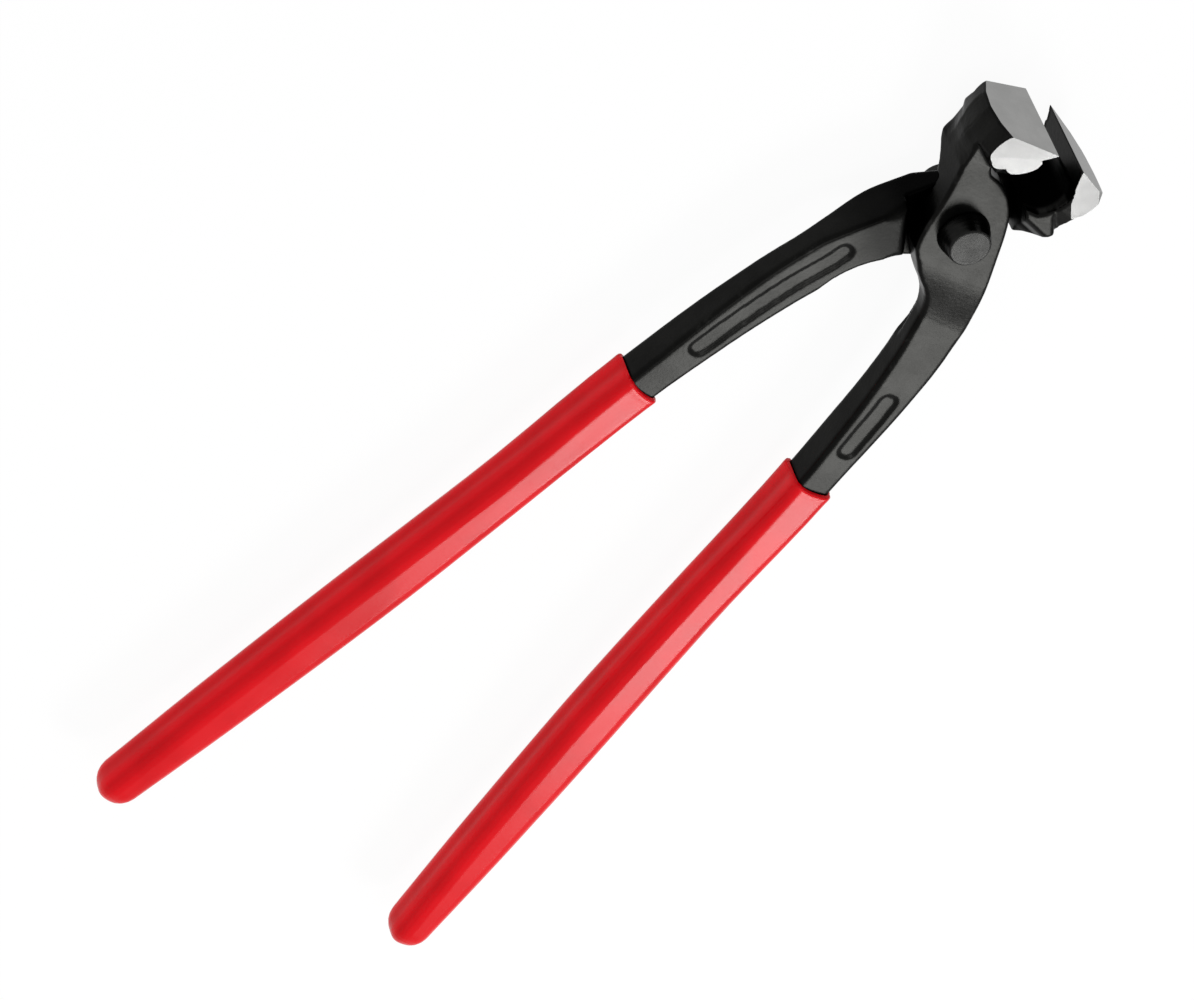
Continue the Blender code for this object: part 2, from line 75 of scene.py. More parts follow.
# %% [markdown]
# ## Mesh tools
#
# A mesh from the model comes as loose triangles, so a copy is merged before anything else happens to it.
# A modifier is the quickest way to remesh or to cut, and asking Blender for the evaluated mesh applies it
# without touching the editor's selection.

# %% Small helpers for meshes
def merged_copy(node, to_lever):
    """A clean bmesh of a CAD node, in the frame of its own lever."""
    shape = bmesh.new()
    shape.from_mesh(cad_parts[node].data)
    bmesh.ops.remove_doubles(shape, verts=shape.verts, dist=0.001 * MM)
    bmesh.ops.transform(shape, matrix=to_lever, verts=shape.verts)
    return shape


def to_mesh(shape, name):
    mesh = bpy.data.meshes.new(name)
    shape.to_mesh(mesh)
    shape.free()
    return mesh


def workpiece(name, mesh):
    piece = bpy.data.objects.new(name, mesh)
    bpy.context.scene.collection.objects.link(piece)
    return piece


def applied(piece, name):
    """The mesh that a piece's modifiers make. The piece and its old mesh are thrown away."""
    graph = bpy.context.evaluated_depsgraph_get()
    mesh = bpy.data.meshes.new_from_object(piece.evaluated_get(graph))
    mesh.name = name
    old = piece.data
    bpy.data.objects.remove(piece)
    bpy.data.meshes.remove(old)
    return mesh


def remeshed(mesh, voxel, passes):
    """Even quads over the whole skin, then a few passes that round its edges."""
    piece = workpiece("remesh", mesh)
    modifier = piece.modifiers.new("voxels", "REMESH")
    modifier.mode = "VOXEL"
    modifier.voxel_size = voxel
    shape = bmesh.new()
    skin = applied(piece, "skin")
    shape.from_mesh(skin)
    bpy.data.meshes.remove(skin)
    for _ in range(passes):
        bmesh.ops.smooth_vert(shape, verts=shape.verts, factor=0.5, use_axis_x=True, use_axis_y=True,
                              use_axis_z=True)
    return shape


def combine(mesh, cutters, operation, name):
    """Cut or join with the quick solver that wants closed meshes. Cut faces take the cutter's finish."""
    piece = workpiece("whole", mesh)
    for cutter in cutters:
        modifier = piece.modifiers.new(cutter.name, "BOOLEAN")
        modifier.operation = operation
        modifier.solver = "MANIFOLD"
        modifier.material_mode = "TRANSFER"
        modifier.object = cutter
    result = applied(piece, name)
    for cutter in cutters:
        bpy.data.objects.remove(cutter)
    return result


def remove_fins(shape):
    """Delete pairs of triangles that lie back to back on the same three corners, left by a cut."""
    bmesh.ops.triangulate(shape, faces=shape.faces)
    bmesh.ops.remove_doubles(shape, verts=shape.verts, dist=0.0001 * MM)
    shape.verts.index_update()
    by_corners = {}
    for face in shape.faces:
        by_corners.setdefault(frozenset(vertex.index for vertex in face.verts), []).append(face)
    fins = [face for faces in by_corners.values() if len(faces) > 1 for face in faces]
    bmesh.ops.delete(shape, geom=fins, context="FACES")


def place(name, mesh, body, replaced, sharp_above):
    """Put a finished mesh in the picture: smooth, but sharp over an angle and round every ground face."""
    mesh.shade_smooth()
    mesh.set_sharp_from_angle(angle=math.radians(sharp_above))
    shape = bmesh.new()
    shape.from_mesh(mesh)
    remove_fins(shape)
    for edge in shape.edges:
        finishes = {face.material_index for face in edge.link_faces}
        if len(finishes) > 1 or (finishes == {1} and edge.calc_face_angle(0) > math.radians(0.3)):
            edge.smooth = False
    shape.to_mesh(mesh)
    shape.free()
    piece = workpiece(name, mesh)
    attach(piece, body)
    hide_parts(replaced)
    triangles = sum(len(face.vertices) - 2 for face in mesh.polygons)
    print(f"{name}: {triangles} triangles on {body}")
    return piece


print("mesh tools are ready")

# %% [markdown]
# ## Shader maths
#
# Masks such as "worn where the edge is sharp and the grain is high" are sums and products. A small class
# wraps the socket of a node, so that they can be written as sums and products in Python too. Colours and
# vectors go through their own nodes, because a Math node would turn a colour grey.

# %% A finish and its wires
class Wire:
    """A number that runs between nodes."""

    def __init__(self, finish, socket):
        self.finish, self.socket = finish, socket

    def maths(self, operation, first, second):
        return self.finish.node("ShaderNodeMath", {"operation": operation}, {0: first, 1: second})[0]

    def __add__(self, other):
        return self.maths("ADD", self, other)

    __radd__ = __add__

    def __sub__(self, other):
        return self.maths("SUBTRACT", self, other)

    def __rsub__(self, other):
        return self.maths("SUBTRACT", other, self)

    def __mul__(self, other):
        return self.maths("MULTIPLY", self, other)

    __rmul__ = __mul__

    def __pow__(self, other):
        return self.maths("POWER", self, other)

    def at_most(self, other):
        return self.maths("MINIMUM", self, other)


class Finish:
    """A material in the making: nodes come from one method, and the shader's own sockets are set by name."""

    def __init__(self, owner):
        owner.use_nodes = True
        self.owner, self.tree = owner, owner.node_tree

    def node(self, kind, settings, sockets):
        made = self.tree.nodes.new(kind)
        for name, value in settings.items():
            setattr(made, name, value)
        for key, value in sockets.items():
            self.feed(made.inputs[key], value)
        return [Wire(self, socket) for socket in made.outputs]

    def feed(self, socket, value):
        if isinstance(value, Wire):
            self.tree.links.new(value.socket, socket)
        else:
            socket.default_value = value

    def shade(self, sockets):
        for name, value in sockets.items():
            self.feed(self.tree.nodes["Principled BSDF"].inputs[name], value)
        return self.owner

    def place(self, scale=(1, 1, 1), turn=(0, 0, 0)):
        """Object coordinates, stretched or turned for one pattern."""
        spot = self.node("ShaderNodeTexCoord", {}, {})[3]
        if scale == (1, 1, 1) and turn == (0, 0, 0):
            return spot
        return self.node("ShaderNodeMapping", {}, {"Vector": spot, "Scale": scale, "Rotation": turn})[0]

    def noise(self, size, detail=2.0, roughness=0.5, distortion=0.0, **where):
        """Cloudy noise from 0 to 1 whose lumps are about size metres across."""
        return self.node("ShaderNodeTexNoise", {}, {
            "Vector": self.place(**where), "Scale": 1 / size, "Detail": detail, "Roughness": roughness,
            "Distortion": distortion})[0]

    def between(self, value, low, high, out_low=0.0, out_high=1.0):
        """Stretch the part of a value between low and high over a new range, smoothly and with ends."""
        return self.node("ShaderNodeMapRange", {"interpolation_type": "SMOOTHSTEP"}, {
            0: value, 1: low, 2: high, 3: out_low, 4: out_high})[0]

    def painted_shade_zone(self, centre, reach, top, strength):
        """A mask for painted shade: strength inside an upright oval well that ends below a level, 0 outside,
        with a soft border.
        """
        spot = self.node("ShaderNodeSeparateXYZ", {}, {0: self.place()})
        across, along = ((spot[i] - centre[i]) * (1 / reach[i]) for i in (0, 1))
        distance = (across * across + along * along) ** 0.5
        inside = self.between(distance, 0.5, 1.0, strength, 0.0)
        return inside * self.between(spot[2], top - 1.6 * MM, top, 1.0, 0.0)

    def attribute(self, name):
        return self.node("ShaderNodeAttribute", {"attribute_name": name}, {})[2]

    def mix(self, factor, first, second, blend="MIX"):
        colours = [(*c, 1.0) if isinstance(c, tuple) else c for c in (first, second)]
        return self.node("ShaderNodeMix", {"data_type": "RGBA", "blend_type": blend}, {
            0: factor, 6: colours[0], 7: colours[1]})[2]

    def bump(self, height, depth, below=None):
        sockets = {"Height": height, "Distance": depth, "Strength": 1.0}
        if below is not None:
            sockets["Normal"] = below
        return self.node("ShaderNodeBump", {}, sockets)[0]


def finish(name):
    return Finish(bpy.data.materials.new(name))


print("shader maths is ready")

# %% [markdown]
# ## Forged steel
#
# The levers are drop forged, blasted clean and darkened. The skin is nearly black where the light does
# not strike it and a flat grey where it does, so it is a dark metal with a rough, finely pitted surface.
# Handling rubs the edges brighter. Where an edge is comes from the mesh itself, as an attribute that is
# measured once the shape is done; right on each edge the same attribute first darkens the skin, a painted
# shade for the dark line where a rounded edge turns away from the light. The mouth and the root of the arm
# are blacker than the light alone makes them, so painted shade darkens the skin there. Each such place is
# an oval well of painted shade: a middle, a reach on both sides, the level at which it ends, and a strength.

# %% Forged steel
GRAZING_TINT = (0.68, 0.68, 0.68, 1.0)


def forged_steel(name, dark, light, hollow, shade_wells):
    """Painted shade: the first well darkens the skin and takes away its shine, the others only darken it."""
    f = finish(name)
    scale = f.noise(9 * MM, detail=5.0, roughness=0.6)
    blast = f.noise(0.42 * MM, detail=3.0, roughness=0.6)
    pits = f.noise(1.1 * MM, detail=2.0)
    edge = f.between(f.attribute("edge"), 0.25, 0.9)
    worn = f.between(f.noise(6 * MM, detail=4.0, roughness=0.65), 0.56, 0.72)
    skin = f.mix(f.between(scale, 0.35, 0.68), dark, light)
    skin = f.mix(f.between(blast, 0.35, 0.75) * 0.25, skin, tuple(1.7 * c for c in light))
    # Painted shade: the skin is darkened right on each edge, for the dark line where a rounded edge turns
    # away from the light.
    skin = f.mix(edge * 0.45, skin, tuple(0.35 * c for c in dark))
    skin = f.mix(edge * worn * 0.35, skin, tuple(3.0 * c for c in light))
    # Painted shade: each oval well darkens the skin to near black.
    for well in [hollow, *shade_wells]:
        skin = f.mix(f.painted_shade_zone(*well), skin, SHADE_BLACK)
    roughness = 0.24 + 0.05 * scale + 0.06 * blast
    relief = f.bump(pits, 0.03 * MM)
    relief = f.bump(blast, 0.02 * MM, relief)
    # In the first well the painted shade also takes away the shine.
    return f.shade({"Base Color": skin, "Metallic": 1 - f.painted_shade_zone(*hollow), "Roughness": roughness,
                    "Normal": relief, "Specular Tint": GRAZING_TINT, "Specular IOR Level": 0.0})


# Near black for painted shade, and the oval wells where it is painted: the mouth, the hollow of the rear jaw,
# the shoulder and the root of the arm.
SHADE_BLACK = (0.0005, 0.0005, 0.0005)
DARK, LIGHT = (0.0076, 0.0076, 0.0072), (0.0106, 0.0106, 0.0101)
MOUTH_SHADE_WELL = ((0, 24 * MM), (10.5 * MM, 11.5 * MM), JOINT_LEVEL + 12.2 * MM, 0.97)
HOLLOW_SHADE_WELL = ((11 * MM, 16.5 * MM), (14 * MM, 11 * MM), JOINT_LEVEL + 10.5 * MM, 0.97)
SHOULDER_SHADE_WELL = ((-9 * MM, -2.5 * MM), (10 * MM, 14 * MM), JOINT_LEVEL + 4.4 * MM, 0.9)
ROOT_SHADE_WELL = ((-10 * MM, -2 * MM), (20 * MM, 24 * MM), JOINT_LEVEL + 9 * MM, 0.62)
FORGED = {"front": forged_steel("front forging", DARK, LIGHT, MOUTH_SHADE_WELL, []),
          "rear": forged_steel("rear forging", DARK, LIGHT, HOLLOW_SHADE_WELL,
                               [MOUTH_SHADE_WELL, SHOULDER_SHADE_WELL, ROOT_SHADE_WELL])}
print("made:", [m.name for m in FORGED.values()])

# %% [markdown]
# ## Ground steel
#
# The working faces of the jaws are ground after hardening, so the bright metal shows there, with fine
# lines that run across the face. Stretching the noise a hundred times along one axis draws those lines.

# %% Ground steel
def ground_steel(name, tone):
    f = finish(name)
    lines = f.noise(0.16 * MM, detail=4.0, roughness=0.7, scale=(1, 1, 0.02), turn=(0, 0, 0.3))
    cloud = f.noise(5 * MM, detail=3.0)
    colour = f.mix(f.between(cloud, 0.3, 0.7), tuple(0.92 * t for t in tone), tone)
    colour = f.mix(f.between(lines, 0.55, 0.8) * 0.35, colour, tuple(0.7 * t for t in tone))
    roughness = 0.17 + 0.05 * lines + 0.03 * cloud
    return f.shade({"Base Color": colour, "Metallic": 1.0, "Roughness": roughness,
                    "Normal": f.bump(lines, 0.003 * MM), "Specular Tint": (0.45, 0.45, 0.45, 1.0)})


GROUND = ground_steel("ground steel", (0.37, 0.37, 0.365))
print("made:", GROUND.name)

# %% [markdown]
# ## Grinding the jaws
#
# Each jaw is a chisel: a top face that falls away behind the edge, a bevel in the mouth, and on each end
# a flank with a lip under it. The blocks that cut them lie a tenth of a millimetre under the faces of the
# model, so they clean up everything that the smoothing rounded, and they leave ground steel behind. On the
# rear lever the outer corners are broken too.

# %% Blocks that grind one jaw
JAW_REACH = 32.5 * MM
JAW_SHIFT = 2.4 * MM
EDGE_HALF = 12.8 * MM
HEAD_HALF = 15.5 * MM
MOUTH_HALF = 7.4 * MM
FLANK_HEIGHT = 9.2 * MM
TOP_FALL = math.radians(7)
BEVEL_LEAN = math.radians(40)
FLANK_FALL = math.radians(9)
FLANK_LEAN = math.radians(4)
LIP_TILT = math.radians(0.8)
LIP_HEIGHTS = {"front": 6.2 * MM, "rear": 2.4 * MM}
MOUTH_END = (-0.35 * MOUTH_HALF, -0.28 * FLANK_HEIGHT)
FRONT_CREASE = ((-0.83 * HEAD_HALF, -0.97 * FLANK_HEIGHT), MOUTH_END)
REAR_CREASE = ((-0.83 * HEAD_HALF, -0.62 * FLANK_HEIGHT), MOUTH_END)
GRINDING_DEPTH = 0.10 * MM
ROOM = 40 * MM


def grinding_block(name, origin, along, normal, low, high, steel):
    """A box in the frame of a ground face: x along it, z out of it, sunk by the grinding depth."""
    x_axis, z_axis = Vector(along).normalized(), Vector(normal).normalized()
    turn = Matrix((x_axis, z_axis.cross(x_axis), z_axis)).transposed().to_4x4()
    shape = bmesh.new()
    bmesh.ops.create_cube(shape, size=1.0)
    low, high = Vector(low), Vector(high)
    bmesh.ops.scale(shape, vec=high - low, verts=shape.verts)
    bmesh.ops.translate(shape, vec=(high + low) / 2 - Vector((0, 0, GRINDING_DEPTH)), verts=shape.verts)
    bmesh.ops.transform(shape, matrix=Matrix.Translation(origin) @ turn, verts=shape.verts)
    block = workpiece(name, to_mesh(shape, name))
    if steel:
        block.data.materials.append(steel)
    return block


def flank_frames(shift):
    """For each end of the jaw: is it the front one, the crease's end at the mouth, outwards and downhill."""
    rise, fall = math.tan(FLANK_FALL), math.tan(FLANK_LEAN)
    for face in (1, -1):
        at_front = face * shift > 0
        corner = Vector((0, JAW_REACH, shift + face * EDGE_HALF))
        normal = Vector((-rise, -fall, face)).normalized()
        back, mouth = (corner + Vector((x, y, face * (rise * x + fall * y)))
                       for x, y in (FRONT_CREASE if at_front else REAR_CREASE))
        yield at_front, mouth, normal, (mouth - back).normalized().cross(normal) * face


def tipped(normal, downhill, angle):
    """Turn a face about its crease, so that it falls faster on the downhill side."""
    return (normal * math.cos(angle) + downhill * math.sin(angle),
            downhill * math.cos(angle) - normal * math.sin(angle))


def grinding_blocks(shift, lip_height, steel):
    edge = Vector((0, JAW_REACH, shift))
    blocks = [grinding_block(
        "top", edge, (-math.cos(TOP_FALL), -math.sin(TOP_FALL), 0),
        (-math.sin(TOP_FALL), math.cos(TOP_FALL), 0), (-ROOM, -ROOM, 0), (ROOM, ROOM, ROOM), steel)]
    for at_front, mouth, normal, downhill in flank_frames(shift):
        down = lip_height if at_front else 0
        blocks.append(grinding_block("flank", mouth, downhill.cross(normal), normal,
                                     (-ROOM, -ROOM, 0), (ROOM, down, ROOM), steel))
        if at_front:
            normal, downhill = tipped(normal, downhill, LIP_TILT)
            blocks.append(grinding_block("lip", mouth, downhill.cross(normal), normal,
                                         (-ROOM, -0.5 * MM, 0), (ROOM, down, ROOM), steel))
    return blocks


CORNER_WAY = Vector((-0.55, 0.62, 0.56))
CORNER_CUT = 0.9 * MM


def corner_blocks(mesh, steel):
    """Break the outer corner at each end of the jaw, found as the point that reaches furthest that way."""
    blocks = []
    for face in (1, -1):
        way = Vector((CORNER_WAY.x, CORNER_WAY.y, CORNER_WAY.z * face)).normalized()
        tip = max((vertex.co for vertex in mesh.vertices), key=way.dot)
        blocks.append(grinding_block("corner", tip - way * CORNER_CUT, way.orthogonal(), way,
                                     (-ROOM, -ROOM, 0), (ROOM, ROOM, ROOM), steel))
    return blocks


print("each jaw is ground on its top, on two flanks and on a lip")

# %% [markdown]
# ## Shaping the forging round the jaw
#
# Before it is rounded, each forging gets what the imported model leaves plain: a neck that falls away under
# the flanks, a bevel on the back edge of the rear plate, and two low swellings under the front bevel.

# %% Blocks that shape the forging round the jaw
NECK_START = 6.2 * MM
NECK_TILT = math.radians(12)
NECK_DROP = 1.2 * MM
REAR_NECK_TIP = math.radians(-28)
ROOT_BEVEL = (Vector((9.7, 4.5, 4.6)) * MM, Vector((20.0, -9.0, 7.2)) * MM)
PADS = [(Vector((-4.75, -6.9, -3.0)) * MM, Vector((1.9, 4.1, 6.0)) * MM),
        (Vector((-9.2, -8.3, -3.0)) * MM, Vector((1.7, 2.9, 5.0)) * MM)]


def neck_blocks(shift):
    """Take down the neck where the flanks end. The front lever keeps its front end, where the pads sit."""
    blocks = []
    for at_front, mouth, normal, downhill in flank_frames(shift):
        if at_front and shift > 0:
            continue
        if at_front:
            mouth = mouth + tipped(normal, downhill, NECK_TILT)[1] * NECK_START
            normal = Vector((0, 0, math.copysign(1, normal.z)))
            mouth = mouth - normal * NECK_DROP
            downhill = (downhill - normal * downhill.dot(normal)).normalized()
        else:
            normal, downhill = tipped(normal, downhill, REAR_NECK_TIP)
        blocks.append(grinding_block("neck", mouth, downhill.cross(normal), normal, (-ROOM, -1.0 * MM, 0),
                                     (ROOM, ROOM, ROOM), None))
    return blocks


def root_block():
    """Bevel the back edge of the rear plate, where it runs out into the arm."""
    start, end = ROOT_BEVEL
    along = (end - start).normalized()
    normal = along.cross(Vector((along.y, -along.x, 1)))
    return grinding_block("root", start, along, normal * math.copysign(1, normal.z), (-14 * MM, -ROOM, 0),
                          (ROOM, ROOM, ROOM), None)


def lip_pads(shift):
    """Low swellings under the bevel, at the front end of the jaw. The flank is ground across them."""
    face = math.copysign(1, shift)
    pads = []
    for spot, radii in PADS:
        shape = bmesh.new()
        bmesh.ops.create_uvsphere(shape, u_segments=32, v_segments=20, radius=1.0)
        bmesh.ops.scale(shape, vec=radii, verts=shape.verts)
        bmesh.ops.rotate(shape, matrix=Matrix.Rotation(-BEVEL_LEAN, 3, "Z"), verts=shape.verts)
        middle = Vector((spot.x, JAW_REACH + spot.y, shift + face * (EDGE_HALF + spot.z)))
        bmesh.ops.translate(shape, vec=middle, verts=shape.verts)
        pads.append(workpiece("pad", to_mesh(shape, "pad")))
    return pads


print("swellings under the front bevel:", len(PADS))

# %% [markdown]
# ## The levers
#
# The skin of a forging has no sharp edge. A voxel remesh of the lever turns it into small even quads, and
# a few smoothing passes round every edge and inside corner by about half a millimetre, as a die does. The
# tang is hidden in the grip, so it keeps the plain mesh of the model, and the two are joined inside the
# grip.

# %% Forge a lever
COLLAR = -81.5 * MM
TANG_JOINT = COLLAR - 8 * MM
FORGING_VOXEL = 0.34 * MM
FORGING_PASSES = 4


def half_of(shape, level, keep_above):
    """Cut a closed shape across at y = level, throw one side away, and close the cut."""
    way = -1 if keep_above else 1
    geometry = shape.verts[:] + shape.edges[:] + shape.faces[:]
    cut = bmesh.ops.bisect_plane(shape, geom=geometry, plane_co=(0, level, 0), plane_no=(0, way, 0),
                                 clear_outer=True)["geom_cut"]
    rim = [e for e in cut if isinstance(e, bmesh.types.BMEdge)]
    bmesh.ops.holes_fill(shape, edges=rim, sides=0)
    return shape


SHOULDER = (Vector((2.5, -15.0, -5.0)) * MM, Vector((19.5, -2.0, -5.4)) * MM)
SHOULDER_REACH = 5.0 * MM
SHOULDER_FLOOR = -2.2 * MM


def soften_shoulder(shape):
    """Extra passes on the rim of the step between plate and arm, which a die leaves well rounded."""
    start, end = SHOULDER
    line = end - start

    def near(spot, reach):
        share = min(max((spot - start).dot(line) / line.length_squared, 0), 1)
        return spot.z < SHOULDER_FLOOR and (start + line * share - spot).length < reach

    for share in (1.0, 0.85, 0.7, 0.55):
        rim = [v for v in shape.verts if near(v.co, share * SHOULDER_REACH)]
        for _ in range(16):
            bmesh.ops.smooth_vert(shape, verts=rim, factor=0.5, use_axis_x=True, use_axis_y=True,
                                  use_axis_z=True)
    return shape


STOCK = 0.32 * MM
STOCK_START = JAW_REACH - 14 * MM


def leave_stock(mesh, shift):
    """Push out what will be ground, so that the wheel finds metal right up to every rounded edge."""
    places, normals = np.empty(len(mesh.vertices) * 3), np.empty(len(mesh.vertices) * 3)
    mesh.vertices.foreach_get("co", places)
    mesh.vertices.foreach_get("normal", normals)
    places, normals = places.reshape(-1, 3), normals.reshape(-1, 3)
    faces = [(-math.sin(TOP_FALL), math.cos(TOP_FALL), 0)] + [tuple(n) for _, _, n, _ in flank_frames(shift)]
    facing = np.max([normals @ np.array(face) for face in faces], axis=0)
    share = np.clip(facing / 0.5, 0, 1) * np.clip((places[:, 1] - STOCK_START) / (3 * MM), 0, 1)
    places += normals * (STOCK * share)[:, None]
    mesh.vertices.foreach_set("co", places.ravel())
    mesh.update()
    return mesh


def forge(node, side, shift):
    to_lever = FRAMES[side].inverted()
    head = half_of(merged_copy(node, to_lever), TANG_JOINT - 1 * MM, True)
    tang = half_of(merged_copy(node, to_lever), TANG_JOINT, False)
    head = combine(to_mesh(head, "head"), lip_pads(shift) if side == "front" else [], "UNION", "head")
    blocks = neck_blocks(shift) + ([root_block()] if side == "rear" else [])
    head = combine(head, blocks, "DIFFERENCE", "head")
    skin = soften_shoulder(remeshed(head, FORGING_VOXEL, FORGING_PASSES))
    skin = leave_stock(to_mesh(skin, "skin"), shift)
    lever = combine(skin, [workpiece("tang", to_mesh(tang, "tang"))], "UNION", "lever")
    print(f"{node}: {len(lever.vertices)} vertices after forging")
    return lever


print("size of a forging's quads in mm:", FORGING_VOXEL / MM)

# %% [markdown]
# ## Where the edges are
#
# On a worn tool the edges shine and the hollows stay dark. The mesh tells which is which: at a rounded
# edge a point stands proud of the middle of its neighbours. That height, smoothed over a few rings, is
# kept as an attribute, and the forged steel reads it, both for wear that brightens the edges and for a
# painted shade that darkens them.

# %% Measure the edges
EDGE_HEIGHT = 0.016 * MM


def measure_edges(mesh):
    count = len(mesh.vertices)
    places, normals = np.empty(count * 3), np.empty(count * 3)
    mesh.vertices.foreach_get("co", places)
    mesh.vertices.foreach_get("normal", normals)
    places, normals = places.reshape(-1, 3), normals.reshape(-1, 3)
    ends = np.empty(len(mesh.edges) * 2, np.int32)
    mesh.edges.foreach_get("vertices", ends)
    first, second = ends.reshape(-1, 2).T
    degree = np.bincount(ends, minlength=count).clip(1)

    def neighbours(values):
        total = np.zeros_like(values)
        np.add.at(total, first, values[second])
        np.add.at(total, second, values[first])
        return (total.T / degree).T

    proud = ((places - neighbours(places)) * normals).sum(axis=1) / EDGE_HEIGHT
    for _ in range(3):
        proud = (proud + neighbours(proud)) / 2
    mesh.attributes.new("edge", "FLOAT", "POINT").data.foreach_set("value", np.clip(proud, 0, 1))
    return float((proud > 0.5).mean())


print("an edge stands proud by", EDGE_HEIGHT / MM, "mm")

# %% [markdown]
# ## From blank to lever
#
# The blank is all dark forging. Grinding comes last, so the bright faces end in crisp lines.

# %% Make both levers
for side, body, shift in (("front", "front_half", JAW_SHIFT), ("rear", "rear_half", -JAW_SHIFT)):
    node = f"{side}_lever"
    blank = forge(node, side, shift)
    blank.materials.clear()
    blank.materials.append(FORGED[side])
    lever = combine(blank, grinding_blocks(shift, LIP_HEIGHTS[side], GROUND), "DIFFERENCE", "ground jaw")
    corners = corner_blocks(lever, GROUND) if side == "rear" else []
    lever = combine(lever, corners, "DIFFERENCE", f"{side} forging")
    lever.transform(FRAMES[side])
    print("share of the skin on an edge:", round(measure_edges(lever), 3))
    place(f"{side}_forging", lever, body, node, 32)

# %% [markdown]
# ## The rivet
#
# The rivet is turned, pushed through both plates and closed in a press. On each side it shows a low cone
# with a flat end and a narrow chamfer. Half of its outline, spun about the axis, makes the whole rivet. Its
# points and faces are sorted at the end, because spinning leaves them in another order on each run.

# %% Turn the rivet
def rivet_steel(name):
    f = finish(name)
    spot = f.node("ShaderNodeSeparateXYZ", {}, {0: f.place()})
    radius = (spot[0] * spot[0] + spot[1] * spot[1]) ** 0.5
    rings = f.node("ShaderNodeMath", {"operation": "SINE"}, {0: radius * (2 * math.pi / (0.28 * MM))})[0]
    blast = f.noise(0.35 * MM, detail=3.0)
    cloud = f.noise(4 * MM, detail=3.0)
    rim = f.between(f.attribute("edge"), 0.3, 0.9)
    colour = f.mix(f.between(cloud, 0.35, 0.65), (0.0100, 0.0100, 0.0097), (0.0132, 0.0132, 0.0128))
    colour = f.mix(rim * 0.4, colour, (0.020, 0.020, 0.0195))
    relief = f.bump(rings, 0.004 * MM)
    relief = f.bump(blast, 0.02 * MM, relief)
    return f.shade({"Base Color": colour, "Metallic": 1.0, "Roughness": 0.22 + 0.06 * blast + 0.05 * cloud,
                    "Normal": relief, "Specular Tint": GRAZING_TINT})


RIVET_OUTLINE = [(0.0, 12.74), (2.6, 12.78), (4.75, 12.78), (4.98, 12.72), (5.16, 12.56), (5.24, 12.36),
                 (5.62, 10.9), (6.02, 9.3), (6.30, 8.1), (6.44, 7.62), (6.42, 7.5), (4.2, 7.5), (4.2, 0.0)]

SORT_WAY = Vector((1.0, math.pi, 27.18))


def turn_rivet():
    shape = bmesh.new()
    outline = RIVET_OUTLINE + [(r, -z) for r, z in reversed(RIVET_OUTLINE[:-1])]
    points = [shape.verts.new((r * MM, 0, JOINT_LEVEL + z * MM)) for r, z in outline]
    edges = [shape.edges.new(pair) for pair in zip(points, points[1:])]
    bmesh.ops.subdivide_edges(shape, edges=[e for e in edges if e.calc_length() > 0.6 * MM], cuts=3)
    bmesh.ops.spin(shape, geom=shape.verts[:] + shape.edges[:], cent=(0, 0, JOINT_LEVEL), axis=(0, 0, 1),
                   angle=2 * math.pi, steps=160, use_merge=True)
    bmesh.ops.remove_doubles(shape, verts=shape.verts, dist=0.002 * MM)
    bmesh.ops.recalc_face_normals(shape, faces=shape.faces)
    shape.verts.sort(key=lambda vertex: vertex.co.dot(SORT_WAY))
    shape.faces.sort(key=lambda face: face.calc_center_median().dot(SORT_WAY))
    return to_mesh(shape, "rivet")


rivet = turn_rivet()
rivet.materials.append(rivet_steel("rivet steel"))
measure_edges(rivet)
place("turned_rivet", rivet, "rear_half", "joint_rivet", 40)

# %% [markdown]
# ## Dipped grips
#
# A grip is a skin of soft plastic: the warm handle is dipped, and the plastic runs and sets. So the skin
# has no corner, it closes round the tip, and at the collar it ends in a thin rolled rim that sits tight
# on the steel and hangs a little lower in the middle of each face.

# %% Dip the grips
GRIP_VOXEL = 0.40 * MM
GRIP_PASSES = 2
RIM_HEIGHT = 0.05 * MM
RIM_LENGTH = 1.0 * MM
GROOVE_DEPTH = 0.22 * MM
GROOVE_WIDTH = 1.5 * MM
GROOVE_FADE = 25 * MM
RIM_SAG = 0.6 * MM
SAG_FADE = 6 * MM
TIGHTENING = 0.36 * MM
COAT_HALF = (4.4 * MM, 4.5 * MM)
LINE_DEGREE = 7


